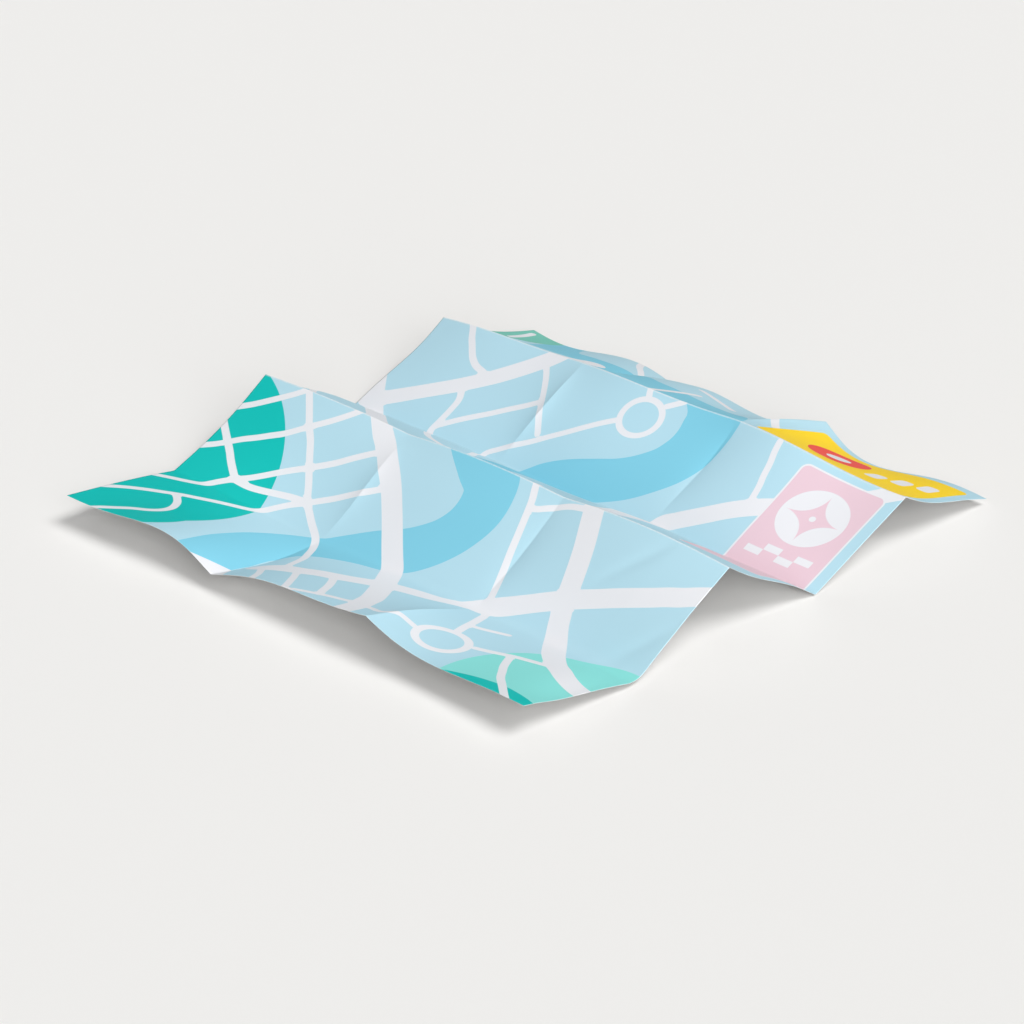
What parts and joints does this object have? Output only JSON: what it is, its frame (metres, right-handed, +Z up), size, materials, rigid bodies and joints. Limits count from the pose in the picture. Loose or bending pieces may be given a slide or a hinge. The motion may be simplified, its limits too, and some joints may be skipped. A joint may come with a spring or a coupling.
{
  "type": "folded paper map",
  "caption": "Large sheet of printed map paper, opened out from its folds and left standing in a low zigzag on the table.",
  "frame": {"origin": "centre of the sheet's footprint, on the table", "axes": "+X along the long folds, +Y from the front edge to the back edge, +Z up"},
  "size_m": [0.4438, 0.4584, 0.0562],
  "materials": {
    "printed_paper": "satin"
  },
  "bodies": {
    "root": {"map_sheet": "printed_paper"}
  },
  "joints": []
}
